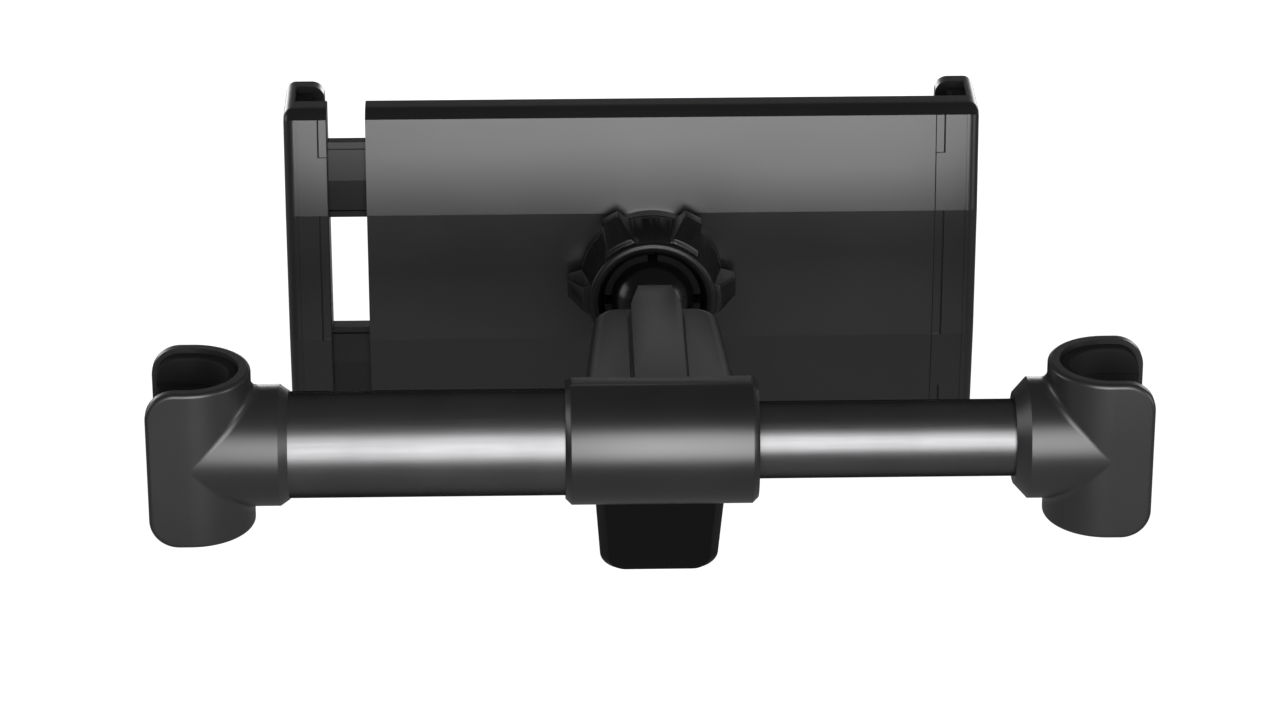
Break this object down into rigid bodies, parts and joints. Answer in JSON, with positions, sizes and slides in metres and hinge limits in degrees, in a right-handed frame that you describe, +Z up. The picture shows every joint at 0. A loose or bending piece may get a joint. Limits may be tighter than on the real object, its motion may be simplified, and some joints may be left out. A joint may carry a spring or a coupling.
{
  "type": "headrest tablet mount",
  "caption": "Telescopic rod with two open hooks for headrest posts, a lever-locked collar and arm, and a ball-jointed cradle with sprung jaws for a tablet.",
  "frame": {"origin": "axis of the left headrest post, at the height of the rod's axis", "axes": "+X along the rod to the right hook, +Y to the tablet cradle, +Z up along the posts"},
  "size_m": [0.1862, 0.107, 0.0707],
  "materials": {
    "tube": "black anodised, satin",
    "hook_plastic": "moulded, satin",
    "collar_plastic": "moulded, satin",
    "lever_plastic": "moulded, matt",
    "cup_plastic": "moulded, satin",
    "ball_plastic": "polished",
    "nut_plastic": "moulded, satin",
    "cradle_plastic": "moulded, fine grain",
    "jaw_plastic": "moulded, fine grain",
    "rail_plastic": "moulded, satin",
    "bush_plastic": "moulded",
    "rubber": "matt rubber",
    "screw_steel": "black oxide",
    "spring_steel": "drawn wire"
  },
  "bodies": {
    "rod_base": {"outer_tube": "tube", "left_hook": "hook_plastic", "left_hook_pad": "rubber", "left_tube_screw": "screw_steel", "guide_bush": "bush_plastic", "collar_arm": "collar_plastic", "lever_pin": "screw_steel"},
    "rod_slider": {"inner_tube": "tube", "stop_ring": "bush_plastic", "right_hook": "hook_plastic", "right_hook_pad": "rubber", "right_tube_screw": "screw_steel"},
    "lock_lever": {"lock_lever": "lever_plastic"},
    "brake": {"brake_shoe": "rubber"},
    "ball": {"ball_stud": "ball_plastic"},
    "seat": {"ball_seat": "bush_plastic"},
    "cradle": {"ball_cup": "cup_plastic", "cradle_back": "cradle_plastic", "cradle_front": "cradle_plastic", "cradle_pad": "rubber", "cradle_screws": "screw_steel"},
    "lock_nut": {"lock_nut": "nut_plastic"},
    "left_jaw": {"left_jaw": "jaw_plastic", "left_rails": "rail_plastic", "left_jaw_pad": "rubber", "left_springs": "spring_steel"},
    "right_jaw": {"right_jaw": "jaw_plastic", "right_rails": "rail_plastic", "right_jaw_pad": "rubber", "right_springs": "spring_steel"}
  },
  "joints": [
    {"name": "rod_extend", "type": "slide", "parent": "rod_base", "child": "rod_slider", "axis": [1, 0, 0], "range_m": [-0.046, 0.0145]},
    {"name": "lever_release", "type": "hinge", "parent": "rod_base", "child": "lock_lever", "pos_m": [0.0876, 0.009, -0.012], "axis": [-1, 0, 0], "range_deg": [0, 65]},
    {"name": "brake_lift", "type": "slide", "parent": "rod_base", "child": "brake", "axis": [0, 0.6, -0.8], "range_m": [0, 0.0012]},
    {"name": "ball_spin", "type": "hinge", "parent": "rod_base", "child": "ball", "pos_m": [0.0876, 0.0665, 0], "axis": [0, 1, 0], "continuous": true},
    {"name": "ball_tilt", "type": "hinge", "parent": "ball", "child": "seat", "pos_m": [0.0876, 0.0665, 0], "axis": [1, 0, 0], "range_deg": [-30, 30]},
    {"name": "cradle_turn", "type": "hinge", "parent": "seat", "child": "cradle", "pos_m": [0.0876, 0.0665, 0], "axis": [0, 1, 0], "continuous": true},
    {"name": "nut_loosen", "type": "hinge", "parent": "cradle", "child": "lock_nut", "pos_m": [0.0876, 0.0665, 0], "axis": [0, 1, 0], "range_deg": [0, 180]},
    {"name": "left_jaw_slide", "type": "slide", "parent": "cradle", "child": "left_jaw", "axis": [-1, 0, 0], "range_m": [0, 0.027], "stiffness_N_per_m": 120, "springref_m": -0.02, "deforming": ["left_springs"]},
    {"name": "right_jaw_slide", "type": "slide", "parent": "cradle", "child": "right_jaw", "axis": [1, 0, 0], "range_m": [0, 0.034], "stiffness_N_per_m": 120, "springref_m": -0.02, "deforming": ["right_springs"]}
  ],
  "couplings": [
    {"joint": "brake_lift", "follows": "lever_release", "m_per_rad": 0.00101}
  ]
}
